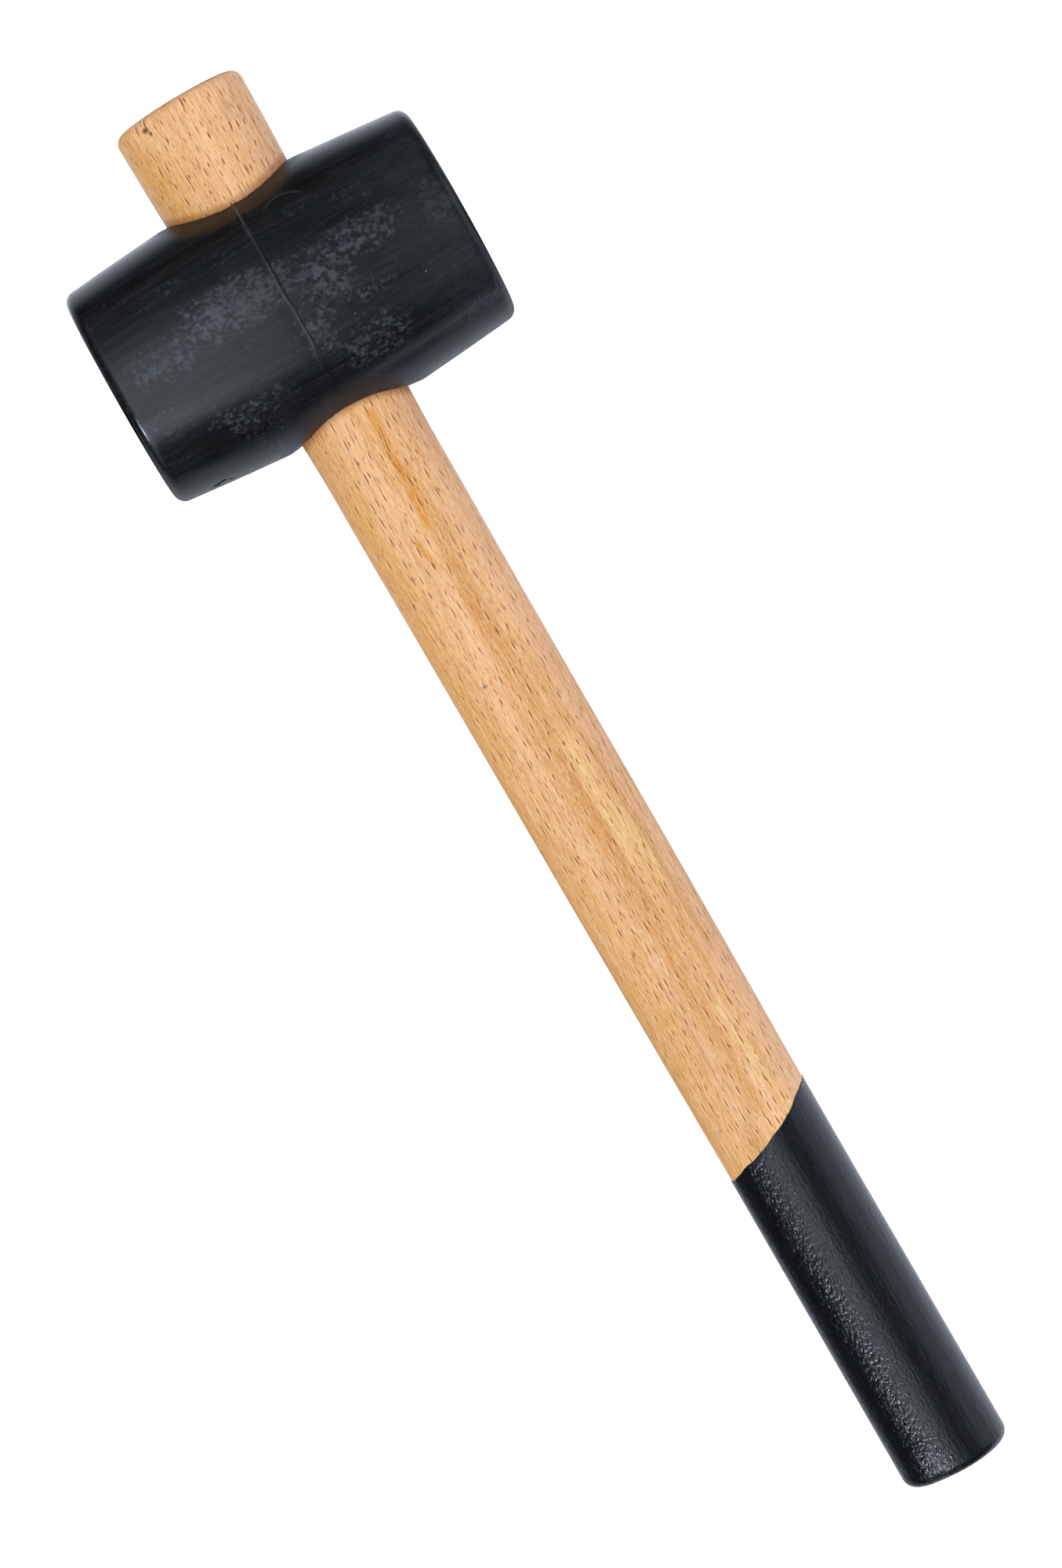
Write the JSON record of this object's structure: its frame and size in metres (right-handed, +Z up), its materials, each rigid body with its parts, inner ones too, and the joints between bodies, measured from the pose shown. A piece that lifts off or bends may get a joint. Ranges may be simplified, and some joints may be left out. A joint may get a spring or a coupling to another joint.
{
  "type": "rubber mallet",
  "caption": "Mallet with a barrel-shaped black rubber head on a tapered beech handle whose grip end is dipped in black lacquer.",
  "frame": {"origin": "on the bench under the middle of the mallet as it lies at rest, the head's belly and the edge of the butt touching z = 0", "axes": "+X along the head's axis towards one striking face, +Y from the grip towards the head, +Z up; the handle leans 3.16 degrees down from the head to the butt"},
  "size_m": [0.09, 0.3658, 0.0611],
  "materials": {
    "rubber": "moulded, satin, with a faint pale bloom",
    "beech": "sanded smooth and clear varnished, satin",
    "lacquer": "glossy black dipped lacquer over the grain"
  },
  "bodies": {
    "root": {"rubber_head": "rubber", "beech_handle": "beech", "grip_lacquer": "lacquer"}
  },
  "joints": []
}
